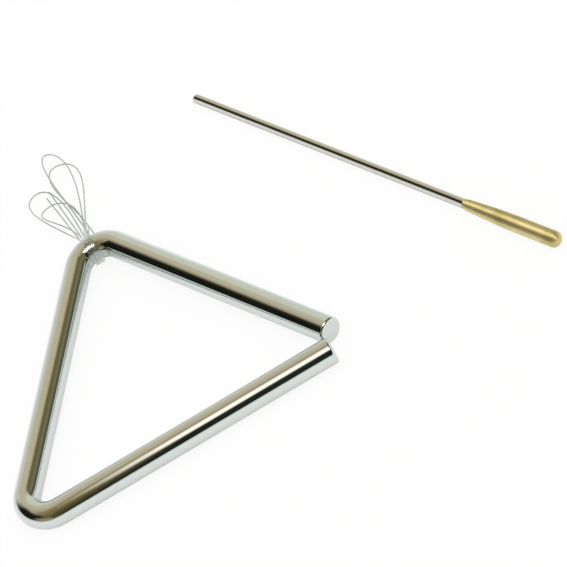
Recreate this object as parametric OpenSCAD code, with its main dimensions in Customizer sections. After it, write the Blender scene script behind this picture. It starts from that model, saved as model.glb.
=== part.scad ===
// Triangle of bent round bar with two nylon hanging lines, and its beater beside it.
// Everything lies on a table at z = 0, with the base leg of the triangle along +X,
// the corner that hangs from the lines towards +Y, and the origin in the middle of the
// ground that the triangle and the beater cover.

/* [Triangle bar] */
// Diameter of the round steel bar
bar_d = 12; // [8:0.5:13]
// Length of one side, between the corners where the bar's axes would meet
side = 164; // [140:1:220]
// Radius of the two bends, measured to the bar's axis
bend_r = 12; // [11:0.5:20]
// How much the bar swells in its bends, on the radius
bend_swell = 0.02; // [0.02:0.01:0.1]
// Radius of the rounded rim on both ends of the bar
end_round = 1.2; // [0.4:0.1:2]
// Gap between the end of the upper leg and the base leg
tone_gap = 1.5; // [0.5:0.1:6]
// How much nearer to the open corner the base leg reaches than the upper leg
end_lead = 2.6; // [0:0.1:5]

/* [Beater rod] */
// Diameter of the steel rod
rod_d = 4.3; // [3.6:0.1:4.4]
// Length of rod that shows in front of the handle
rod_free = 171.7; // [100:0.1:200]
// Radius of the rounded rim at the tip
tip_round = 1; // [0.3:0.1:1.2]

/* [Beater handle] */
// Length of the turned brass handle
handle_len = 54.2; // [45:0.1:90]
// Diameter of the handle where it is thickest
handle_d = 7.3; // [6.6:0.1:12]
// Diameter of the handle behind its nose
nose_d = 5.2; // [5.1:0.1:6]
// Length of the bevel on the nose
nose_len = 2.2; // [1:0.1:4]
// Depth of the bevel on the nose, across the handle's radius
nose_bevel = 0.4; // [0.1:0.05:0.5]
// Radius of the rounded butt
butt_round = 2.6; // [1:0.1:3.2]
// Depth of the bore that the rod's shank is glued into
seat_depth = 30; // [15:1:40]
// How much thinner the shank is than the rod, on the radius
seat_step = 0.65; // [0.4:0.05:0.8]
// Glue gap between the shank and its bore, on the radius
glue_gap = 0.02; // [0.01:0.01:0.05]

/* [Beater place] */
// Distance from the upper leg's axis to the beater's tip
beater_away = 85.9; // [60:0.1:120]
// How far the tip lies behind the hanging corner, along the upper leg
beater_behind = 4.4; // [0:0.1:40]
// Angle by which the beater turns towards the triangle
beater_turn = 2; // [-5:0.5:5]

/* [Nylon lines] */
// Diameter of both nylon lines
line_d = 0.65; // [0.5:0.05:0.8]
// Gap between a line and the bar that it goes round
wrap_fit = 0.35; // [0.3:0.05:0.8]
// Gap between neighbouring turns, and between the lines and the table
lay_fit = 0.08; // [0.06:0.01:0.3]
// How far the turns sit from the middle of the bend, towards the closed corner
turns_shift = 0.6; // [0:0.1:1]

/* [Main line] */
// Reach of the right-hand loop from the bar's axis
main_right_reach = 64.9; // [62:0.1:68]
// Sideways swing of the right-hand loop
main_right_swing = 17.8; // [16:0.1:19]
// Lean of the right-hand loop, away from the closed corner
main_right_lean = 12; // [11:0.1:13]
// How far the tip of the right-hand loop curls back, towards the closed corner
main_right_curl = 15; // [14:0.1:16]
// How long the strands of the right-hand loop run together before they part
main_right_bundle = 0.73; // [0.6:0.01:0.85]
// Height that the tip of the right-hand loop springs above the table
main_right_lift = 4.5; // [4:0.1:5]
// Reach of the left-hand loop from the bar's axis
main_left_reach = 42.3; // [41:0.1:44]
// Sideways swing of the left-hand loop
main_left_swing = 17.7; // [17:0.1:18.5]
// Lean of the left-hand loop, towards the closed corner
main_left_lean = 8.9; // [8.5:0.1:9.5]
// How far the tip of the left-hand loop curls on, towards the closed corner
main_left_curl = 2.2; // [1.5:0.1:3]
// How long the strands of the left-hand loop run together before they part
main_left_bundle = 0.89; // [0.8:0.01:1]
// Height that the tip of the left-hand loop springs above the table
main_left_lift = 4.9; // [4.5:0.1:5.5]
// Length of the free tail
main_tail_len = 57; // [40:1:60]
// Lean of the free tail, towards the closed corner
main_tail_lean = 6.8; // [6.5:0.1:7]

/* [Safety line] */
// Reach of the right-hand loop from the bar's axis
safety_right_reach = 78.8; // [76:0.1:82]
// Sideways swing of the right-hand loop
safety_right_swing = 11.4; // [10.5:0.1:12.5]
// Lean of the right-hand loop, away from the closed corner
safety_right_lean = 6.8; // [6:0.1:7.5]
// How far the tip of the right-hand loop curls back, towards the closed corner
safety_right_curl = 12.2; // [11:0.1:13]
// How long the strands of the right-hand loop run together before they part
safety_right_bundle = 0.1; // [0:0.01:0.3]
// Height that the tip of the right-hand loop springs above the table
safety_right_lift = 1.8; // [1.5:0.1:2.5]
// Reach of the left-hand loop from the bar's axis
safety_left_reach = 59.2; // [57:0.1:62]
// Sideways swing of the left-hand loop
safety_left_swing = 13.9; // [13:0.1:15]
// Lean of the left-hand loop, towards the closed corner
safety_left_lean = 17.2; // [16.5:0.1:18]
// How far the tip of the left-hand loop curls back, away from the closed corner
safety_left_curl = 6.3; // [5.5:0.1:7]
// How long the strands of the left-hand loop run together before they part
safety_left_bundle = 0.11; // [0:0.01:0.2]
// Height that the tip of the left-hand loop springs above the table
safety_left_lift = 0.9; // [0.6:0.1:1.5]
// Length of the free tail
safety_tail_len = 54; // [40:1:60]
// Lean of the free tail, towards the closed corner
safety_tail_lean = 8.8; // [8.5:0.1:9]

/* [Hidden] */
$fn = 96;

// Short ends of the lines where they start on top of the bar
stub_len = 6;
stub_rise = 1.5;
main_stub_lean = 17;
safety_stub_lean = 10;

// Counts of rings and sides of the nylon tubes
loop_rings = 24;
turn_steps = 12;
tail_rings = 6;
stub_rings = 3;
tube_sides = 6;
// Points looked at on each straight run when the least gap is measured
probe_steps = 8;
// Runs shorter than this many line diameters don't count as a gap of the line to itself
near_share = 10;

// Shape of the beater's handle: share of its length where it stops swelling, and steps there
swell_share = 0.6;
swell_steps = 14;
butt_steps = 6;

corner_angle = 60;
bend_angle = 180 - corner_angle;
bar_r = bar_d / 2;
bend_bar_r = bar_r + bend_swell;
rod_r = rod_d / 2;
shank_r = rod_r - seat_step;
handle_r = handle_d / 2;
line_r = line_d / 2;

// The triangle in its own plane, from the closed corner
height = side * sin(corner_angle);
tangent_len = bend_r / tan(corner_angle / 2);
// The legs run on into the bends, as far as their ends stay inside the swell
bend_lap = sqrt(bend_r * bend_swell);
upper_cut = (bar_r + tone_gap + (bar_r - end_round) * cos(corner_angle)) / sin(corner_angle);
base_cut = upper_cut - end_lead;

// Places of the six turns along the hanging bend, the two lines taking every other one
turn_count = 6;
turn_pitch = line_d + lay_fit;
function turn_x(place) = (place - (turn_count - 1) / 2) * turn_pitch - turns_shift;
outer_x = abs(turn_x(0));

// Inside the bend the bar curves away from the line between the turns, so the turns are
// larger and their common axis lies further in, by half of that sag each
inner_r = bend_r - bend_bar_r;
turn_in = (inner_r - sqrt(pow(inner_r, 2) - pow(outer_x, 2))) / 2;
turn_r = (bend_bar_r + turn_in + line_r + wrap_fit) / cos(90 / turn_steps);

// The lines pass under the hanging corner, so the bar leans on them there
hang_y = height - bend_r;
hang_z = turn_r + line_r + lay_fit;
tilt = asin((hang_z - bend_bar_r) / hang_y);

// The beater's axis, from its tip, in the same ground plan
tip_x = side / 2 - beater_behind * cos(corner_angle) + beater_away * sin(corner_angle);
tip_y = height + beater_behind * sin(corner_angle) + beater_away * cos(corner_angle);
beater_heading = -corner_angle - beater_turn;
beater_pitch = asin((handle_r - rod_r) / (rod_free + handle_len * swell_share));
beater_len = rod_free + handle_len;

// Ground plan of everything but the lines, and the origin in its middle
plan_left = tangent_len - bend_r - bend_bar_r;
plan_right = max(side - base_cut, tip_x + beater_len * cos(beater_heading) + handle_r * sin(corner_angle) / 2);
plan_front = min(-bend_bar_r, tip_y + beater_len * sin(beater_heading) - handle_r * cos(corner_angle) / 2);
plan_back = max(height - bend_r + bend_bar_r, tip_y + rod_r * cos(corner_angle));
origin = [(plan_left + plan_right) / 2, (plan_front + plan_back) / 2, 0];
hang_point = [side / 2, hang_y * cos(tilt) - turn_in, hang_z] - origin;

// Shared shapes
function ease(share) = (1 - cos(180 * share)) / 2;
function unit(v) = v / norm(v);

// Round bar along +X from the origin, with a rounded rim at its far end
module round_ended_bar(r, length, rim) {
    rotate([0, 90, 0])
        rotate_extrude() {
            square([r, length - rim]);
            square([r - rim, length]);
            translate([r - rim, length - rim])
                intersection() {
                    circle(r = rim);
                    square(rim);
                }
        }
}

module bend(centre, first_angle) {
    translate(centre)
        rotate([0, 0, first_angle])
            rotate_extrude(angle = bend_angle)
                translate([bend_r, 0])
                    circle(r = bend_bar_r);
}

module leg(corner, heading) {
    translate(corner)
        rotate([0, 0, heading])
            translate([tangent_len - bend_lap, 0, 0])
                children();
}

module triangle_bar() {
    color("silver")
        translate([0, 0, bend_bar_r] - origin)
            rotate([tilt, 0, 0]) {
                leg([0, 0, 0], 0)
                    round_ended_bar(bar_r, side - tangent_len + bend_lap - base_cut, end_round);
                bend([tangent_len, bend_r, 0], 90 + corner_angle);
                leg([0, 0, 0], corner_angle)
                    rotate([0, 90, 0])
                        cylinder(r = bar_r, h = side - 2 * (tangent_len - bend_lap));
                bend([side / 2, height - 2 * bend_r, 0], 90 - corner_angle);
                leg([side / 2, height, 0], -corner_angle)
                    round_ended_bar(bar_r, side - tangent_len + bend_lap - upper_cut, end_round);
            }
}

// Routes of the nylon lines, from the middle of the turns' common axis at the hanging bend:
// x along the bar there, y away from the triangle, z up
function half_turn(x) =
    [for (i = [0:turn_steps])
        let (a = 90 + 180 * i / turn_steps)
        [x, turn_r * cos(a), turn_r * sin(a)]];

// A loop leaves under the bar at x_out and comes back over the bar at x_back
function loop(x_out, x_back, reach, swing, lean, curl, bundle, hand, lift) =
    [for (i = [1:loop_rings])
        let (t = i / (loop_rings + 1), y = reach * sin(180 * t))
        [x_out + (x_back - x_out) * t + y * tan(lean) - curl * pow(sin(180 * t), 2)
            + hand * swing * pow(sin(180 * t), 1 + bundle) * cos(180 * t),
         y,
         lift * ease(min(1, 2 * t)) + (2 * turn_r - lift) * ease(max(0, 2 * t - 1)) - turn_r]];

function stub(x, lean) =
    [for (i = [0:stub_rings - 1])
        let (share = 1 - i / stub_rings)
        [x + stub_len * share * tan(lean), stub_len * share, turn_r + stub_rise * share]];

function tail(x, length, lean) =
    [for (i = [1:tail_rings])
        let (y = length * i / tail_rings)
        [x - y * tan(lean), y, -turn_r]];

main_route = concat(
    stub(turn_x(5), main_stub_lean),
    half_turn(turn_x(5)),
    loop(turn_x(5), turn_x(3), main_right_reach, main_right_swing, main_right_lean,
        main_right_curl, main_right_bundle, -1, main_right_lift),
    half_turn(turn_x(3)),
    loop(turn_x(3), turn_x(1), main_left_reach, main_left_swing, -main_left_lean,
        main_left_curl, main_left_bundle, 1, main_left_lift),
    half_turn(turn_x(1)),
    tail(turn_x(1), main_tail_len, main_tail_lean));

safety_route = concat(
    stub(turn_x(4), safety_stub_lean),
    half_turn(turn_x(4)),
    loop(turn_x(4), turn_x(2), safety_right_reach, safety_right_swing, safety_right_lean,
        safety_right_curl, safety_right_bundle, -1, safety_right_lift),
    half_turn(turn_x(2)),
    loop(turn_x(2), turn_x(0), safety_left_reach, safety_left_swing, -safety_left_lean,
        -safety_left_curl, safety_left_bundle, 1, safety_left_lift),
    half_turn(turn_x(0)),
    tail(turn_x(0), safety_tail_len, safety_tail_lean));

// Least gap of a line to itself and between the lines, measured from points on one run
// to the whole of another, and printed
function runs(route) =
    [for (i = 0, run = 0; i < len(route);
        run = run + norm(route[min(i + 1, len(route) - 1)] - route[i]), i = i + 1) run];
function to_run(p, a, b) =
    let (share = max(0, min(1, (p - a) * (b - a) / ((b - a) * (b - a)))))
    norm(p - a - share * (b - a));
function own_gap(route, run) =
    min([for (i = [0:len(route) - 3])
        for (j = [i + 2:len(route) - 2])
            if (run[j] - run[i + 1] > near_share * line_d)
                for (k = [0:probe_steps])
                    to_run(route[i] + (route[i + 1] - route[i]) * k / probe_steps,
                        route[j], route[j + 1])]) - line_d;
function gap_between(a, b) =
    min([for (i = [0:len(a) - 2])
        for (j = [0:len(b) - 2])
            for (k = [0:probe_steps])
                to_run(a[i] + (a[i + 1] - a[i]) * k / probe_steps, b[j], b[j + 1])]) - line_d;

main_runs = runs(main_route);
safety_runs = runs(safety_route);
echo(main_line_length = main_runs[len(main_runs) - 1],
    main_line_least_gap_to_itself = own_gap(main_route, main_runs));
echo(safety_line_length = safety_runs[len(safety_runs) - 1],
    safety_line_least_gap_to_itself = own_gap(safety_route, safety_runs));
echo(least_gap_between_lines = gap_between(main_route, safety_route));

// Directions along a route, and a side direction carried along it without twist
function directions(route) =
    [for (i = [0:len(route) - 1])
        unit(route[min(i + 1, len(route) - 1)] - route[max(i - 1, 0)])];
function square_to(v, direction) = unit(v - (v * direction) * direction);
function side_directions(ways) =
    [for (i = 0, s = square_to([0, 0, 1], ways[0]); i < len(ways);
        i = i + 1, s = square_to(s, ways[min(i, len(ways) - 1)])) s];

module tube(route) {
    ways = directions(route);
    sides = side_directions(ways);
    rings = len(route);
    points = [for (i = [0:rings - 1])
        for (k = [0:tube_sides - 1])
            let (a = 360 * k / tube_sides)
            route[i] + line_r * (cos(a) * sides[i] + sin(a) * cross(ways[i], sides[i]))];
    wall = [for (i = [0:rings - 2])
        for (k = [0:tube_sides - 1])
            let (a = i * tube_sides + k,
                b = i * tube_sides + (k + 1) % tube_sides)
            each [[a, a + tube_sides, b], [b, a + tube_sides, b + tube_sides]]];
    last = (rings - 1) * tube_sides;
    caps = [for (k = [1:tube_sides - 2])
        each [[0, k, k + 1], [last, last + k + 1, last + k]]];
    polyhedron(points = points, faces = concat(wall, caps));
}

module main_line() {
    color("gainsboro")
        translate(hang_point)
            tube(main_route);
}

module safety_line() {
    color("whitesmoke")
        translate(hang_point)
            tube(safety_route);
}

// Places what is drawn along +X from the beater's tip
module beater_place() {
    translate([tip_x, tip_y, rod_r] - origin)
        rotate([0, 0, beater_heading])
            rotate([0, -beater_pitch, 0])
                children();
}

module beater_rod() {
    color("silver")
        beater_place() {
            translate([rod_free, 0, 0])
                rotate([0, 0, 180])
                    round_ended_bar(rod_r, rod_free, tip_round);
            translate([rod_free - rod_r, 0, 0])
                rotate([0, 90, 0])
                    cylinder(r = shank_r, h = rod_r + seat_depth);
        }
}

// Radius of the handle at a share of its length, from behind the nose bevel
function swell_r(share) =
    nose_d / 2 + (handle_r - nose_d / 2) * sin(90 * min(1, share / swell_share));

module beater_handle() {
    nose_share = nose_len / handle_len;
    outline = concat(
        [[0, 0], [nose_d / 2 - nose_bevel, 0]],
        [for (i = [0:swell_steps])
            let (share = nose_share + (swell_share - nose_share) * i / swell_steps)
            [swell_r(share - nose_share * (1 - i / swell_steps)), handle_len * share]],
        [for (i = [0:butt_steps])
            let (a = 90 * i / butt_steps)
            [handle_r - butt_round + butt_round * cos(a),
             handle_len - butt_round + butt_round * sin(a)]],
        [[0, handle_len]]);
    color("goldenrod")
        beater_place()
            translate([rod_free, 0, 0])
                rotate([0, 90, 0])
                    difference() {
                        rotate_extrude()
                            polygon(outline);
                        translate([0, 0, -seat_depth])
                            cylinder(r = shank_r + glue_gap, h = 2 * seat_depth + glue_gap);
                    }
}

triangle_bar();
main_line();
safety_line();
beater_rod();
beater_handle();
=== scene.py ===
# %% [markdown]
# # A triangle of bent steel bar, its nylon hanging lines and its beater
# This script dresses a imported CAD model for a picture. The model holds exact solids: the bent
# bar, the beater's rod and handle, and two nylon lines as plain tubes. On polished metal every
# facet shows, because it breaks the bands of the reflected room. So the bar and the handle are
# drawn again here from the same sizes, with true round normals, and the lines with more points
# on the same routes. The rod is straight and stays as it is.

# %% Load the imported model
import math

import bpy
from mathutils import Matrix, Vector


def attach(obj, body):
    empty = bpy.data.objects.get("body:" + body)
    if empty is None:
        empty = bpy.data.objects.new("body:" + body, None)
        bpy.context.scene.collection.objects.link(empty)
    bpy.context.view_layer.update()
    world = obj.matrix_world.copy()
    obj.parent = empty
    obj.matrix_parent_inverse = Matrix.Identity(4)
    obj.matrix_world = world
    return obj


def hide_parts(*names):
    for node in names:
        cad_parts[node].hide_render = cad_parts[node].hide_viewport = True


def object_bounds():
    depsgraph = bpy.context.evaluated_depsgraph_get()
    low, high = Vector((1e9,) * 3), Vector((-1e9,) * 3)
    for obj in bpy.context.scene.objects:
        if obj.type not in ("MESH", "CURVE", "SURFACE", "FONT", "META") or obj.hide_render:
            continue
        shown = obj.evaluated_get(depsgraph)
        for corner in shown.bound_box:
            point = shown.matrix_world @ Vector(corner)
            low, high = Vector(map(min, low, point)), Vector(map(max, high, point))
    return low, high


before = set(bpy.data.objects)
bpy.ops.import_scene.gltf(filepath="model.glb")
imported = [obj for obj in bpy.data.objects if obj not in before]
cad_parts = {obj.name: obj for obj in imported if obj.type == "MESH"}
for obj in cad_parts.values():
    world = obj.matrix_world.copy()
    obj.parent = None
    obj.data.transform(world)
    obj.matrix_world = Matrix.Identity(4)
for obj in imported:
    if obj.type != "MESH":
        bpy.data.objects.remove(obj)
cad_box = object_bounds()
MM = 0.001

# %% [markdown]
# ## The camera
# The photograph was taken from some way off with a long lens, so the triangle hardly tapers
# with distance. A camera could be pointed with a Track To constraint, but the photograph is
# also rolled, so the camera's right, up and back directions are written down as a matrix.

# %% Place the camera
CAMERA_PLACE_MM = (80.327, -1078.941, 1022.54)
CAMERA_RIGHT = (0.85904079, -0.3305189, -0.39090431)
CAMERA_UP = (0.51008873, 0.61698662, 0.59928039)
CAMERA_BACK = (0.04310924, -0.71420219, 0.69861064)
LENS_MM = 213.28
SENSOR_MM = 36

camera_data = bpy.data.cameras.new("camera")
camera_data.lens = LENS_MM
camera_data.sensor_width = SENSOR_MM
camera = bpy.data.objects.new("camera", camera_data)
camera.matrix_world = Matrix.Translation(Vector(CAMERA_PLACE_MM) * MM) @ Matrix(
    (CAMERA_RIGHT, CAMERA_UP, CAMERA_BACK)).transposed().to_4x4()
bpy.context.scene.collection.objects.link(camera)
bpy.context.scene.camera = camera
bpy.context.scene.view_settings.view_transform = "Standard"
away = (camera.location - Vector(cad_box[0])).length
print("camera", round(away, 2), "m from the model's corner")

# %% [markdown]
# ## The nylon lines
# A triangle hangs from a loop of clear nylon, with a second loop to catch it. Here each line
# goes round the bar three times and stands out from it in one large loop on the right and a
# smaller one on the left. The curves could be drawn by hand, but a few numbers for each loop
# give the springy look, and the CAD tubes use the same ones: its reach from the bar, its swing
# from side to side, how far it leans and curls, how closely it is bundled near the bar, which
# hand it turns to, and the lift of its far end. A curve object with a round bevel suits a line:
# it has one centreline and one thickness.

# %% Sizes of the lines, in millimetres
LINE_D = 0.65
TURN_R = 7.01187            # from the hanging point to the centreline of a turn
TURN_PITCH = 0.73
TURN_MIDDLE = 2.5           # the six turns are counted from 0 to 5
TURNS_SHIFT = 0.6           # how far they all sit towards the closed corner
HANG_POINT = Vector((-50.2952, 40.6228, 7.41687))
STUB_LEN, STUB_RISE = 6, 1.5
POINTS_A_LOOP = 100
POINTS_A_TURN = 36
POINTS_AT_AN_END = 12
print("hanging point", tuple(HANG_POINT), "mm")


# %% The parts of a line's route
def turn_x(place):
    """Where a turn sits along the bar, counted from the left."""
    return (place - TURN_MIDDLE) * TURN_PITCH - TURNS_SHIFT


def tangent(degrees):
    return math.tan(math.radians(degrees))


def ease(share):
    return (1 - math.cos(math.pi * share)) / 2


def stub(x, lean):
    """The short cut end that stands on the bar, from its tip to the bar."""
    shares = [1 - i / POINTS_AT_AN_END for i in range(POINTS_AT_AN_END)]
    return [(x + STUB_LEN * s * tangent(lean), STUB_LEN * s, TURN_R + STUB_RISE * s)
            for s in shares]


def half_turn(x):
    """Over the inside of the bend, from the top of the bar to its underside."""
    angles = [math.pi * (0.5 + i / POINTS_A_TURN) for i in range(POINTS_A_TURN + 1)]
    return [(x, TURN_R * math.cos(a), TURN_R * math.sin(a)) for a in angles]


def loop(x_out, x_back, reach, swing, lean, curl, bundle, hand, lift):
    """Out from under the bar at x_out, round in the air, and back over the bar at x_back."""
    points = []
    for i in range(1, POINTS_A_LOOP):
        t = i / POINTS_A_LOOP
        out, across = math.sin(math.pi * t), math.cos(math.pi * t)
        x = x_out + (x_back - x_out) * t + reach * out * tangent(lean) - curl * out ** 2
        x += hand * swing * out ** (1 + bundle) * across
        z = lift * ease(min(1, 2 * t)) + (2 * TURN_R - lift) * ease(max(0, 2 * t - 1)) - TURN_R
        points.append((x, reach * out, z))
    return points


def tail(x, length, lean):
    """The long cut end that lies on the table."""
    reaches = [length * i / POINTS_AT_AN_END for i in range(1, POINTS_AT_AN_END + 1)]
    return [(x - y * tangent(lean), y, -TURN_R) for y in reaches]


print("turns at", [round(turn_x(place), 2) for place in range(6)], "mm")

# %% The two routes
# Each loop's reach, swing, lean (degrees), curl, bundle, hand and lift
MAIN_RIGHT_LOOP = (64.9, 17.8, 12, 15, 0.73, -1, 4.5)
MAIN_LEFT_LOOP = (42.3, 17.7, -8.9, 2.2, 0.89, 1, 4.9)
SAFETY_RIGHT_LOOP = (78.8, 11.4, 6.8, 12.2, 0.1, -1, 1.8)
SAFETY_LEFT_LOOP = (59.2, 13.9, -17.2, -6.3, 0.11, 1, 0.9)


def line_route(first_place, stub_lean, right_loop, left_loop, tail_len, tail_lean):
    """From stub to tail; the line takes every other place to the left of its first one."""
    first, second, third = [turn_x(first_place - skipped) for skipped in (0, 2, 4)]
    return [
        *stub(first, stub_lean), *half_turn(first),
        *loop(first, second, *right_loop), *half_turn(second),
        *loop(second, third, *left_loop), *half_turn(third),
        *tail(third, tail_len, tail_lean)]


main_route = line_route(5, stub_lean=17, right_loop=MAIN_RIGHT_LOOP, left_loop=MAIN_LEFT_LOOP,
                        tail_len=57, tail_lean=6.8)
safety_route = line_route(4, stub_lean=10, right_loop=SAFETY_RIGHT_LOOP,
                          left_loop=SAFETY_LEFT_LOOP, tail_len=54, tail_lean=8.8)
print("points", len(main_route), "and", len(safety_route))

# %% Bend the nylon along the routes
BEVEL_POINTS = 3            # between the quarters of a line's round section

for name, route in (("main_line", main_route), ("safety_line", safety_route)):
    points = [(Vector(p) + HANG_POINT) * MM for p in route]
    curve = bpy.data.curves.new(name + "_nylon", "CURVE")
    curve.dimensions = "3D"
    curve.bevel_depth = 1       # times each point's radius
    curve.bevel_resolution = BEVEL_POINTS
    curve.use_fill_caps = True
    spline = curve.splines.new("POLY")
    spline.points.add(len(points) - 1)
    for spot, point in zip(spline.points, points):
        spot.co = (*point, 1)
        spot.radius = LINE_D / 2 * MM
    line = bpy.data.objects.new(name + "_nylon", curve)
    bpy.context.scene.collection.objects.link(line)
    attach(line, "lines")
    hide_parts(name)

# %% [markdown]
# ## Round metal
# The bar is a straight steel bar that was bent twice round a former, and the handle is turned
# on a lathe. Both are rings strung on a centreline: the ring's radius changes at a rim or a
# swell, and its heading changes in a bend. A bevelled curve or a Screw modifier would give the
# shapes too, but not normals that are exact at the rims, and polished metal needs those. So a
# ring here also says how far the surface leans forwards. Each point also remembers where it
# would be if the bar were straight, which lets a pattern follow the metal's grain.

# %% A solid from rings
SIDES = 96


def round_solid(name, rings, placing):
    """Rings are (centre, heading, radius, lean), in millimetres and degrees, in one plane."""
    points, normals, grain, run, last = [], [], [], 0, rings[0][0]
    for (x, y), heading, radius, lean in rings:
        run, last = run + math.dist(last, (x, y)), (x, y)
        heading, lean = math.radians(heading), math.radians(lean)
        ahead = Vector((math.cos(heading), math.sin(heading), 0))
        aside, above = Vector((ahead.y, -ahead.x, 0)), Vector((0, 0, 1))
        for k in range(SIDES):
            turn = 2 * math.pi * k / SIDES
            out = aside * math.cos(turn) + above * math.sin(turn)
            points.append(placing @ (Vector((x, y, 0)) + out * radius) * MM)
            grain += [radius * MM * math.cos(turn), radius * MM * math.sin(turn), run * MM]
            normals.append(placing.to_3x3() @ (out * math.cos(lean) + ahead * math.sin(lean)))
    faces = [tuple(range(SIDES)), tuple(reversed(range(len(points) - SIDES, len(points))))]
    for start in range(0, len(points) - SIDES, SIDES):
        for k in range(SIDES):
            a, b = start + k, start + (k + 1) % SIDES
            faces.append((a, a + SIDES, b + SIDES, b))
    mesh = bpy.data.meshes.new(name)
    mesh.from_pydata(points, [], faces)
    mesh.shade_smooth()
    mesh.normals_split_custom_set_from_vertices(normals)
    mesh.attributes.new("grain", "FLOAT_VECTOR", "POINT").data.foreach_set("vector", grain)
    solid = bpy.data.objects.new(name, mesh)
    bpy.context.scene.collection.objects.link(solid)
    print(name, len(points), "points")
    return solid


def arc(steps, start, end):
    return [start + (end - start) * i / steps for i in range(steps + 1)]


# %% [markdown]
# ## The bar
# Its centreline is drawn in the triangle's own plane, from the end of the base leg round the
# closed corner and the hanging corner to the end of the upper leg. The whole plane then tips
# up by 0.6 degrees, because the hanging corner leans on the nylon that passes under it.

# %% Bend the bar
BAR_R = 6
RIM_R = 1.2                 # rounded edge at both ends
BEND_R = 12
BASE_END = 155.1685         # length of the base leg from the closed corner's point
UPPER_END = (158.2843, 9.9)
CLOSED_BEND = (20.7846, 12)
HANGING_BEND = (82, 118.0282)
TILT = math.radians(0.615529)
BAR_PLACE = (-132.295, -89.141, 6.02)
RING_GAP = 8                # spacing of the rings on the straight legs
BEND_RINGS = 40
FACE_RINGS = 6              # on the flat end, from its hub to its rim
HUB_R = 0.2
RIM_RINGS = 12


def straight(start, end, heading):
    """Rings along a straight leg."""
    steps = math.ceil(math.dist(start, end) / RING_GAP)
    return [((start[0] + (end[0] - start[0]) * s, start[1] + (end[1] - start[1]) * s),
             heading, BAR_R, 0) for s in arc(steps, 0, 1)]


def bend(centre, first, last):
    """Rings round a bend; the angles are those of the spokes from its centre."""
    return [((centre[0] + BEND_R * math.cos(math.radians(a)),
              centre[1] + BEND_R * math.sin(math.radians(a))), a - 90, BAR_R, 0)
            for a in arc(BEND_RINGS, first, last)]


def end_rings(face, heading, way):
    """The flat face and rounded rim of an end: way is -1 where the bar starts, 1 where it ends."""
    rings = [(face, heading, radius, 90 * way)
             for radius in arc(FACE_RINGS, HUB_R, BAR_R - RIM_R)]
    for a in arc(RIM_RINGS, 0, 90)[1:]:
        back = way * RIM_R * (1 - math.cos(math.radians(a)))
        centre = (face[0] - back * math.cos(math.radians(heading)),
                  face[1] - back * math.sin(math.radians(heading)))
        rings.append((centre, heading, BAR_R - RIM_R * (1 - math.sin(math.radians(a))),
                      way * (90 - a)))
    return rings if way < 0 else rings[::-1]


closed_start = bend(CLOSED_BEND, 270, 150)
hanging_start = bend(HANGING_BEND, 150, 30)
base_end = end_rings((BASE_END, 0), 180, -1)
upper_end = end_rings(UPPER_END, -60, 1)
bar_rings = [
    *base_end,
    *straight(base_end[-1][0], closed_start[0][0], 180)[1:-1], *closed_start,
    *straight(closed_start[-1][0], hanging_start[0][0], 60)[1:-1], *hanging_start,
    *straight(hanging_start[-1][0], upper_end[0][0], -60)[1:-1], *upper_end]
bar_placing = Matrix.Translation(BAR_PLACE) @ Matrix.Rotation(TILT, 4, "X")
bar = round_solid("bent_bar", bar_rings, bar_placing)
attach(bar, "triangle")
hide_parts("triangle_bar")

# %% [markdown]
# ## The handle
# The lathe leaves a narrow bevel at the nose and a slow swell over the first 60 % of the
# length, then a straight part and a rounded butt. The profile is a list of places along the
# axis with radii, from the formula that the CAD solid uses. The rod fills the nose, so the
# face there needs no hole.

# %% Turn the handle
HANDLE_START = 171.7        # from the beater's tip
HANDLE_LEN = 54.2
NOSE_R, HANDLE_R, ROD_R = 2.6, 3.65, 2.15
NOSE_LEN = 2.2
NOSE_FACE = (ROD_R - 0.5, ROD_R + 0.02)     # radii of the flat face, from inside the rod
NOSE_CONE = ((0.05, NOSE_R - 0.4), (NOSE_LEN - 0.1, NOSE_R - 0.02))     # places and radii
BUTT_R = 2.6
SWELL_SHARE = 0.6
SWELL_RINGS = 40
BUTT_RINGS = 16
ROD_HEADING = math.radians(-62)
ROD_PITCH = math.radians(0.420842)
TIP_PLACE = (21.897, 99.648, 2.15)


def profile_rings(profile):
    """Rings from (place, radius), each leaning as the profile's slope says."""
    rings = []
    for i, (x, radius) in enumerate(profile):
        before, after = profile[max(i - 1, 0)], profile[min(i + 1, len(profile) - 1)]
        lean = -math.degrees(math.atan2(after[1] - before[1], after[0] - before[0]))
        rings.append(((x, 0), 0, radius, lean))
    return rings


handle_profile = []
for s in arc(SWELL_RINGS, 0, SWELL_SHARE):
    x = NOSE_LEN + s * (HANDLE_LEN - NOSE_LEN / SWELL_SHARE)
    radius = NOSE_R + (HANDLE_R - NOSE_R) * math.sin(math.pi / 2 * s / SWELL_SHARE)
    handle_profile.append((HANDLE_START + x, radius))
butt_angles = arc(BUTT_RINGS, 0, 90)
butt = [(HANDLE_START + HANDLE_LEN - BUTT_R * (1 - math.sin(math.radians(a))),
         HANDLE_R - BUTT_R * (1 - math.cos(math.radians(a)))) for a in butt_angles]
handle_rings = [
    *[((HANDLE_START, 0), 0, radius, -90) for radius in NOSE_FACE],
    *profile_rings([(HANDLE_START + x, radius) for x, radius in NOSE_CONE]),
    *profile_rings(handle_profile),
    *[((x, 0), 0, radius, a) for (x, radius), a in zip(butt, butt_angles)],
    ((HANDLE_START + HANDLE_LEN, 0), 0, HUB_R, 90)]
beater_placing = (Matrix.Translation(TIP_PLACE) @ Matrix.Rotation(ROD_HEADING, 4, "Z")
                  @ Matrix.Rotation(-ROD_PITCH, 4, "Y"))
handle = round_solid("turned_handle", handle_rings, beater_placing)
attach(handle, "beater")
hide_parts("beater_handle")

# %% [markdown]
# ## Helpers for the finishes
# Colours are written as sRGB hex codes, as a colour picker shows them, but shaders count in
# linear light, so one function converts them. Node trees could be wired by hand in the
# editor. In a script, one function that adds a node with its settings and links is enough.


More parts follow.
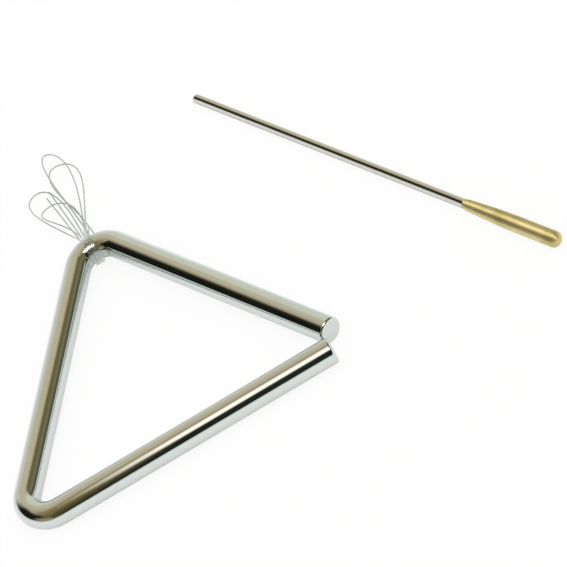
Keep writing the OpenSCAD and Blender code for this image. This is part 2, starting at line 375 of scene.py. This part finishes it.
# %% A colour, a node and a material
def linear(code):
    """An sRGB hex code as linear red, green, blue and alpha."""
    shares = [int(code[i:i + 2], 16) / 255 for i in (1, 3, 5)]
    return (*[s / 12.92 if s <= 0.04045 else ((s + 0.055) / 1.055) ** 2.4 for s in shares], 1)


def add(tree, kind, inputs=(), **settings):
    """A new node: settings are its own, and inputs are socket values or outputs to link."""
    node = tree.nodes.new(kind)
    for key, value in settings.items():
        setattr(node, key, value)
    for key, value in dict(inputs).items():
        if isinstance(value, bpy.types.NodeSocket):
            tree.links.new(value, node.inputs[key])
        else:
            node.inputs[key].default_value = value
    return node


def new_material(name):
    """A material with an empty node tree and the output that its shader goes into."""
    material = bpy.data.materials.new(name)
    material.use_nodes = True
    tree = material.node_tree
    tree.nodes.clear()
    return material, tree, add(tree, "ShaderNodeOutputMaterial")


print("white is", linear("#FFFFFF"))

# %% [markdown]
# ## Chrome plate on steel
# The bar is bent from round steel, polished and chrome plated. Chrome is a mirror with a cool
# grey tint: nearly all that the eye sees of it is the room, drawn out into long bands. One
# roughness all over would look like a computer's chrome, so a cloudy pattern of fingers'
# smudges dulls it in places, and a very shallow waviness, left by polishing by hand, lets the
# bands swim a little. The steel was drawn through a die before it was bent, and its faint
# lines run along the bar under the plate. A painted map could do this, but noise needs none.

# %% Chrome plate, polished: the bar
CHROME = "#DADFDE"          # cool grey of chrome plate
POLISHED, SMUDGED = 0.035, 0.1      # roughness
SMUDGE_MM = 14              # a fingertip's smudge
WAVE_MM = 9                 # polishing waves along the bar
WAVE_DEPTH_MM = 0.004
LINE_MM = 0.6               # draw lines; the real ones are finer than can show
LINE_DEPTH_MM = 0.002
LINE_LENGTH = 120           # each line is this many times as long as it is wide

chrome, tree, output = new_material("polished_chrome_plate")
place = add(tree, "ShaderNodeTexCoord").outputs["Object"]
smudge = add(tree, "ShaderNodeTexNoise", {
    "Vector": place, "Scale": 1 / (SMUDGE_MM * MM), "Detail": 6, "Roughness": 0.6})
dulling = add(tree, "ShaderNodeMapRange", {
    "Value": smudge.outputs[0], "From Min": 0.35, "From Max": 0.75,
    "To Min": POLISHED, "To Max": SMUDGED})
wave = add(tree, "ShaderNodeTexNoise", {
    "Vector": place, "Scale": 1 / (WAVE_MM * MM), "Detail": 1})
waves = add(tree, "ShaderNodeBump", {
    "Height": wave.outputs[0], "Distance": WAVE_DEPTH_MM * MM, "Strength": 1})
grain = add(tree, "ShaderNodeVectorMath", {
    0: add(tree, "ShaderNodeAttribute", attribute_name="grain").outputs["Vector"],
    1: (1, 1, 1 / LINE_LENGTH)}, operation="MULTIPLY")
draw = add(tree, "ShaderNodeTexNoise", {
    "Vector": grain.outputs[0], "Scale": 1 / (LINE_MM * MM), "Detail": 2})
bump = add(tree, "ShaderNodeBump", {
    "Height": draw.outputs[0], "Distance": LINE_DEPTH_MM * MM, "Strength": 1,
    "Normal": waves.outputs[0]})
metal = add(tree, "ShaderNodeBsdfPrincipled", {
    "Base Color": linear(CHROME), "Metallic": 1, "Roughness": dulling.outputs[0],
    "Normal": bump.outputs[0]})
tree.links.new(metal.outputs[0], output.inputs[0])
bar.data.materials.append(chrome)
print(chrome.name, "on", bar.name)

# %% [markdown]
# ## Drawn steel rod
# The beater's rod is thin steel wire, drawn through a die, straightened and plated. Drawing
# leaves the finest scratches along the wire, which blur its reflections along the rod far
# less than across it. An anisotropic shader could do this, but stretched noise in the bump
# also shows from near by, and it is what the real surface has. In the photograph the black
# line of the left flag runs along the middle of the rod, but low on the bar's upper leg: the
# flag stood so near that the rod saw it from further below. A world has directions and no
# distances, so the rod's normals are turned a little round its axis instead.

# %% Plated steel wire: the rod
ROD_METAL = "#D9D8D2"       # a little warmer than the bar's plate
DRAW_LINE_MM = 0.25         # width of a draw line; the real ones are finer than can show
DRAW_LINE_LENGTH = 60       # each line is this many times as long as it is wide
DRAW_LINE_DEPTH_MM = 0.002
SMOOTHEST, ROUGHEST = 0.08, 0.2     # roughness from line to line
NEARER_FLAG = 14.5          # degrees that the normals turn by

rod_metal, tree, output = new_material("bright_drawn_steel")
place = add(tree, "ShaderNodeTexCoord").outputs["Object"]
along = add(tree, "ShaderNodeMapping", {
    "Vector": place, "Rotation": (0, 0, -ROD_HEADING)})
stretched = add(tree, "ShaderNodeVectorMath", {
    0: along.outputs[0], 1: (1 / DRAW_LINE_LENGTH, 1, 1)}, operation="MULTIPLY")
draw = add(tree, "ShaderNodeTexNoise", {
    "Vector": stretched.outputs[0], "Scale": 1 / (DRAW_LINE_MM * MM), "Detail": 2})
dulling = add(tree, "ShaderNodeMapRange", {
    "Value": draw.outputs[0], "To Min": SMOOTHEST, "To Max": ROUGHEST})
beater_axis = (math.cos(ROD_HEADING), math.sin(ROD_HEADING), 0)
turned = add(tree, "ShaderNodeVectorRotate", {
    "Vector": add(tree, "ShaderNodeNewGeometry").outputs["Normal"],
    "Axis": beater_axis, "Angle": math.radians(NEARER_FLAG)})
bump = add(tree, "ShaderNodeBump", {
    "Height": draw.outputs[0], "Distance": DRAW_LINE_DEPTH_MM * MM, "Strength": 1,
    "Normal": turned.outputs[0]})
metal = add(tree, "ShaderNodeBsdfPrincipled", {
    "Base Color": linear(ROD_METAL), "Metallic": 1, "Roughness": dulling.outputs[0],
    "Normal": bump.outputs[0]})
tree.links.new(metal.outputs[0], output.inputs[0])
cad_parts["beater_rod"].material_slots[0].material = rod_metal
print(rod_metal.name, "on beater_rod")

# %% [markdown]
# ## Turned brass
# The handle is turned from brass bar on a lathe and left as it comes from the tool. Brass is
# a yellow mirror, and the tool's path leaves rings that are too fine to see one by one. Their
# slopes face up and down the handle, so they draw the lamp out into one bright line along it.
# Bump alone would need rings too fine for the picture, so the shader is anisotropic, with its
# tangent along the axis, and a little noise that changes only along the axis shows the rings.

# %% Brass, fine turned: the handle
BRASS = "#EDE2B0"           # yellow brass, a little tarnished
BRASS_DARK = "#D2C78E"      # where fingers have browned it
RING_MM = 0.35              # spacing of the tool marks; drawn coarser than the real 0.1 mm
RING_DEPTH_MM = 0.001
RING_SMOOTH, RING_ROUGH = 0.57, 0.69    # roughness across the rings
ALONG_MORE = 0.82           # how much further the rings smear light along the handle
TARNISH_MM = 9              # size of the browned clouds

brass, tree, output = new_material("turned_brass")
place = add(tree, "ShaderNodeTexCoord").outputs["Object"]
travel = add(tree, "ShaderNodeVectorMath", {0: place, 1: beater_axis}, operation="DOT_PRODUCT")
rings = add(tree, "ShaderNodeTexNoise", {
    "W": travel.outputs["Value"], "Scale": 1 / (RING_MM * MM), "Detail": 3},
    noise_dimensions="1D")
dulling = add(tree, "ShaderNodeMapRange", {
    "Value": rings.outputs[0], "To Min": RING_SMOOTH, "To Max": RING_ROUGH})
bump = add(tree, "ShaderNodeBump", {
    "Height": rings.outputs[0], "Distance": RING_DEPTH_MM * MM, "Strength": 1})
tangent_along = add(tree, "ShaderNodeCombineXYZ", dict(enumerate(beater_axis)))
tarnish = add(tree, "ShaderNodeTexNoise", {
    "Vector": place, "Scale": 1 / (TARNISH_MM * MM), "Detail": 4})
cloud = add(tree, "ShaderNodeMapRange", {
    "Value": tarnish.outputs[0], "From Min": 0.4, "From Max": 0.75})
tint = add(tree, "ShaderNodeMix", {
    "Factor": cloud.outputs[0], 6: linear(BRASS), 7: linear(BRASS_DARK)}, data_type="RGBA")
metal = add(tree, "ShaderNodeBsdfPrincipled", {
    "Base Color": tint.outputs[2], "Metallic": 1, "Roughness": dulling.outputs[0],
    "Anisotropic": ALONG_MORE, "Tangent": tangent_along.outputs[0],
    "Normal": bump.outputs[0]})
tree.links.new(metal.outputs[0], output.inputs[0])
handle.data.materials.append(brass)
print(brass.name, "on", handle.name)

# %% [markdown]
# ## Clear nylon
# Monofilament is drawn from clear nylon. Light goes through it as through glass, so it shows
# mostly by the dark lines along its edges, where it bends the light most. The turns that lie
# tight on the bar keep that look and sparkle. The loops are handled and knocked about, which
# scuffs the nylon until it is half milky. Two materials could show that, but a line is one
# piece, so the wear grows with the distance from the bar.

# %% Nylon, drawn clear: the lines
NYLON = "#E4E7E3"           # on the bar
SCUFFED_NYLON = "#C4CBC7"   # out in the loops
NYLON_IOR = 1.53
WEAR_STARTS_MM, WEAR_FULL_MM = 7, 14    # distances from the hanging point
SCUFF_MM = 3                # size of the scuffed patches
GLOSSY, SCUFFED = 0.03, 0.16    # roughness
CLEAR, MILKY = 0.92, 0.6    # share of the light that goes through, on the bar and in the loops

nylon, tree, output = new_material("clear_drawn_nylon")
place = add(tree, "ShaderNodeTexCoord").outputs["Object"]
scuff = add(tree, "ShaderNodeTexNoise", {
    "Vector": place, "Scale": 1 / (SCUFF_MM * MM), "Detail": 3})
dulling = add(tree, "ShaderNodeMapRange", {
    "Value": scuff.outputs[0], "To Min": GLOSSY, "To Max": SCUFFED})
from_bar = add(tree, "ShaderNodeVectorMath", {0: place, 1: HANG_POINT * MM}, operation="DISTANCE")
wear = add(tree, "ShaderNodeMapRange", {
    "Value": from_bar.outputs["Value"],
    "From Min": WEAR_STARTS_MM * MM, "From Max": WEAR_FULL_MM * MM})
clearness = add(tree, "ShaderNodeMapRange", {
    "Value": wear.outputs[0], "To Min": CLEAR, "To Max": MILKY})
tint = add(tree, "ShaderNodeMix", {
    "Factor": wear.outputs[0], 6: linear(NYLON), 7: linear(SCUFFED_NYLON)}, data_type="RGBA")
clear = add(tree, "ShaderNodeBsdfPrincipled", {
    "Base Color": tint.outputs[2], "Roughness": dulling.outputs[0],
    "IOR": NYLON_IOR, "Transmission Weight": clearness.outputs[0]})
tree.links.new(clear.outputs[0], output.inputs[0])
for name in ("main_line_nylon", "safety_line_nylon"):
    bpy.data.objects[name].data.materials.append(nylon)
print(nylon.name, "on both lines")

# %% [markdown]
# ## The table
# The object lies on a plain white table. To keep it white without more light on the object,
# its material glows for what the camera, mirrors and clear things see of it, and the part
# that doesn't glow takes the shadows.

# %% A white table
TABLE_RADIUS = 6            # metres
GLOW_SEEN = 0.88            # share of its white that doesn't depend on the light, to the camera
GLOW_MIRRORED = 0.2         # and in mirrors, where the shade under the bar must show

corners = [(x * TABLE_RADIUS, y * TABLE_RADIUS, 0)
           for x, y in ((-1, -1), (1, -1), (1, 1), (-1, 1))]
table_mesh = bpy.data.meshes.new("table")
table_mesh.from_pydata(corners, [], [(0, 1, 2, 3)])
table = bpy.data.objects.new("table", table_mesh)
bpy.context.scene.collection.objects.link(table)

white_table, tree, output = new_material("white_table")
ray = add(tree, "ShaderNodeLightPath").outputs
mirrored = add(tree, "ShaderNodeMath", {0: ray["Is Glossy Ray"], 1: GLOW_MIRRORED},
               operation="MULTIPLY")
seen = add(tree, "ShaderNodeMath", {0: ray["Is Camera Ray"], 1: ray["Is Transmission Ray"]},
           operation="MAXIMUM")
share = add(tree, "ShaderNodeMath", {0: seen.outputs[0], 1: GLOW_SEEN, 2: mirrored.outputs[0]},
            operation="MULTIPLY_ADD")
paint = add(tree, "ShaderNodeBsdfDiffuse", {"Color": linear("#FFFFFF")})
glow = add(tree, "ShaderNodeEmission", {"Color": linear("#FFFFFF"), "Strength": 1})
mix = add(tree, "ShaderNodeMixShader", {
    0: share.outputs[0], 1: paint.outputs[0], 2: glow.outputs[0]})
tree.links.new(mix.outputs[0], output.inputs[0])
table_mesh.materials.append(white_table)
print("table", 2 * TABLE_RADIUS, "m across")

# %% [markdown]
# ## The studio
# Chrome looks like its surroundings, so a studio is built around it: a warm room that is darker
# in front, a pale wall behind, dark flags on the left, the right and in front, and a soft lamp
# overhead. The flags could be real boards, but then they would stand in the way of a camera
# that looks from another side. Painted onto the world by direction they are seen only in
# reflections. A flag is a window in azimuth (0 is straight behind, 90 is right) and in height.

# %% The room's colours, by direction
ROOM = [  # from the front (-1) to the back (1)
    (-0.75, "#5B4F2F"), (-0.5, "#7C6D46"), (-0.35, "#897851"), (-0.16, "#917E57"),
    (0.05, "#9B8A64"), (0.28, "#C0B294"), (0.5, "#D1C7AD")]
BOARDS = [
    # from azimuth, to azimuth, softness, from height, to height, softness (degrees), colour
    (-70, 60, 12, -10, 33, 12, "#DFDACB"),      # back wall, its pale lower part
    (0, 60, 14, 10, 42, 12, "#E3E1CF"),         # back wall, its palest part
    (-64, -32, 14, 38, 70, 14, "#BEB094"),      # back wall, shaded upper left
    (28, 62, 18, 44, 66, 14, "#C6B68B"),        # back wall, shaded upper right
    (-200, 260, 1, -100, 10, 4, "#DFE7E1"),     # the table's far parts
    (46, 112, 20, 9, 60, 5, "#786C4A"),         # right flag
    (46, 112, 20, 9, 40, 8, "#7E7B60"),         # right flag, middle
    (46, 112, 20, 9, 25, 6, "#5A5C4C"),         # right flag, low part
    (-118, -46, 26, 11, 48, 6, "#4A4230"),      # left flag's brown edge
    (-116, -50, 26, 9, 41, 6, "#171A16"),       # left flag
    (-150, -106, 26, 5, 27, 16, "#9C9272"),     # light that reaches round the left flag
    (120, 188.2, 2.5, 10, 50, 6, "#212722"),    # front flag
]
CUT = (-150, 210)           # where the azimuth starts and ends; only a soft edge reaches it
LAMP_X = (-0.12, 0.45, 0.05)    # the lamp's sides and their softness, as slopes from the table
LAMP_Y = (-0.65, -0.05, 0.4)

world = bpy.data.worlds.new("studio")
bpy.context.scene.world = world
world.use_nodes = True
tree = world.node_tree
tree.nodes.clear()


def window(*sides):
    """1 inside and 0 outside; each side is a value, its low and high limit and a softness."""
    shares = []
    for value, low, high, soft in sides:
        offset = add(tree, "ShaderNodeMath", {0: value, 1: (low + high) / 2}, operation="SUBTRACT")
        away = add(tree, "ShaderNodeMath", {0: offset.outputs[0]}, operation="ABSOLUTE")
        shares.append(add(tree, "ShaderNodeMapRange", {
            "Value": away.outputs[0], "From Min": (high - low + soft) / 2,
            "From Max": (high - low - soft) / 2}, interpolation_type="SMOOTHSTEP").outputs[0])
    both = add(tree, "ShaderNodeMath", {0: shares[0], 1: shares[1]}, operation="MULTIPLY")
    return both.outputs[0]


toward = add(tree, "ShaderNodeSeparateXYZ", {
    0: add(tree, "ShaderNodeTexCoord").outputs["Generated"]}).outputs
compass = add(tree, "ShaderNodeMath", {0: toward["X"], 1: toward["Y"]}, operation="ARCTAN2")
azimuth = add(tree, "ShaderNodeMath", {
    0: compass.outputs[0], 1: math.radians(CUT[1]), 2: math.radians(CUT[0])}, operation="WRAP")
height = add(tree, "ShaderNodeMath", {0: toward["Z"]}, operation="ARCSINE")
back_share = add(tree, "ShaderNodeMapRange", {"Value": toward["Y"], "From Min": -1})
room = add(tree, "ShaderNodeValToRGB", {0: back_share.outputs[0]})
stops = room.color_ramp.elements
for spot, (_, code) in zip(stops, (ROOM[0], ROOM[-1])):
    spot.color = linear(code)
stops[0].position, stops[1].position = (1 + ROOM[0][0]) / 2, (1 + ROOM[-1][0]) / 2
for back, code in ROOM[1:-1]:
    stops.new((1 + back) / 2).color = linear(code)
colour = room.outputs[0]
for left, right, soft_across, low, high, soft_up, code in BOARDS:
    board = window(
        (azimuth.outputs[0], *map(math.radians, (left, right, soft_across))),
        (height.outputs[0], *map(math.radians, (low, high, soft_up))))
    colour = add(tree, "ShaderNodeMix", {
        "Factor": board, 6: colour, 7: linear(code)}, data_type="RGBA").outputs[2]
print(len(ROOM), "room colours and", len(BOARDS), "boards")

# %% Join the studio's looks
LAMP_COLOUR = "#FFF7ED"
LAMP_STRENGTH = 1.5         # in reflections
ROOM_LIGHT = 0.8            # even light from all round, on what isn't a mirror
HORIZON = 0.01              # keeps the slopes finite there

above = add(tree, "ShaderNodeMath", {0: toward["Z"], 1: HORIZON}, operation="MAXIMUM")
slopes = [add(tree, "ShaderNodeMath", {0: toward[axis], 1: above.outputs[0]},
              operation="DIVIDE").outputs[0] for axis in "XY"]
overhead = window((slopes[0], *LAMP_X), (slopes[1], *LAMP_Y))
ray = add(tree, "ShaderNodeLightPath").outputs
mirror = add(tree, "ShaderNodeMath", {0: ray["Is Glossy Ray"], 1: ray["Is Transmission Ray"]},
             operation="MAXIMUM")
walls = add(tree, "ShaderNodeBackground", {"Color": colour, "Strength": 1})
lamp_face = add(tree, "ShaderNodeBackground", {
    "Color": linear(LAMP_COLOUR), "Strength": LAMP_STRENGTH})
reflected = add(tree, "ShaderNodeMixShader", {
    0: overhead, 1: walls.outputs[0], 2: lamp_face.outputs[0]})
even = add(tree, "ShaderNodeBackground", {"Color": linear("#FFFFFF"), "Strength": ROOM_LIGHT})
backdrop = add(tree, "ShaderNodeBackground", {"Color": linear("#FFFFFF"), "Strength": 1})
lit = add(tree, "ShaderNodeMixShader", {
    0: mirror.outputs[0], 1: even.outputs[0], 2: reflected.outputs[0]})
shown = add(tree, "ShaderNodeMixShader", {
    0: ray["Is Camera Ray"], 1: lit.outputs[0], 2: backdrop.outputs[0]})
add(tree, "ShaderNodeOutputWorld", {0: shown.outputs[0]})
print("world", world.name)

# %% [markdown]
# ## The lamp overhead
# The world shows the lamp's face to mirrors, and an area lamp of the same size gives its light
# and soft shadows. The light could come from the world too, but a lamp near the table makes the
# shade under the bar tighter and lets it fade with distance.

# %% An area lamp over the table
def area_lamp(name, across, along, height, watts, code):
    """Its sides are given as slopes from the table, as in the world, and height in metres."""
    data = bpy.data.lights.new(name, "AREA")
    data.shape = "RECTANGLE"
    data.size, data.size_y = [(high - low) * height for low, high in (across, along)]
    data.energy = watts
    data.color = linear(code)[:3]
    lamp = bpy.data.objects.new(name, data)
    lamp.location = (sum(across) / 2 * height, sum(along) / 2 * height, height)
    lamp.visible_camera = False
    bpy.context.scene.collection.objects.link(lamp)
    print(name, round(data.size, 2), "x", round(data.size_y, 2), "m,", round(watts), "W")
    return lamp


soft_lamp = area_lamp("soft_lamp", LAMP_X[:2], LAMP_Y[:2], height=1.3, watts=4, code="#FFFDF2")
soft_lamp.visible_glossy = False

# %% [markdown]
# ## The bulb behind the lamp's face
# A part of the lamp's face is far brighter than the rest, and the turned brass smears it into
# a bright line. The world could show it too, but a ray off dull metal meets so small a spot only
# by chance, and the line comes out blotchy. A renderer aims such rays at lamps, so the bulb is
# one. It stands so far off that all of the object sees it in the same direction, and only shiny
# surfaces see it. Between two chromed legs it would be mirrored on and on as a row of white
# dashes, so its strength is nothing for a ray that has met more than one mirror.

# %% The bulb
BULB_X = (0.05, 0.45)       # its sides, as slopes from the table
BULB_Y = (-0.6, -0.2)
BULB_HEIGHT = 12
BULB_BRIGHTNESS = 13        # times white
TOO_MANY_MIRRORS = 1.5      # between one and two

bulb_sides = [(high - low) * BULB_HEIGHT for low, high in (BULB_X, BULB_Y)]
bulb = area_lamp("bulb", BULB_X, BULB_Y, height=BULB_HEIGHT,
                 watts=BULB_BRIGHTNESS * math.pi * bulb_sides[0] * bulb_sides[1],
                 code=LAMP_COLOUR)
bulb.visible_diffuse = False
bulb.data.use_nodes = True
tree = bulb.data.node_tree
tree.nodes.clear()
mirrors_met = add(tree, "ShaderNodeLightPath").outputs["Glossy Depth"]
first = add(tree, "ShaderNodeMath", {0: mirrors_met, 1: TOO_MANY_MIRRORS}, operation="LESS_THAN")
shine = add(tree, "ShaderNodeEmission", {"Strength": first.outputs[0]})
add(tree, "ShaderNodeOutputLight", {0: shine.outputs[0]})
print("bulb shows after one mirror at most")

# %% [markdown]
# ## Finish
# Dressing the model must not change its size; the last step brings the scene up to date.

# %% Bring the scene up to date
bpy.context.view_layer.update()
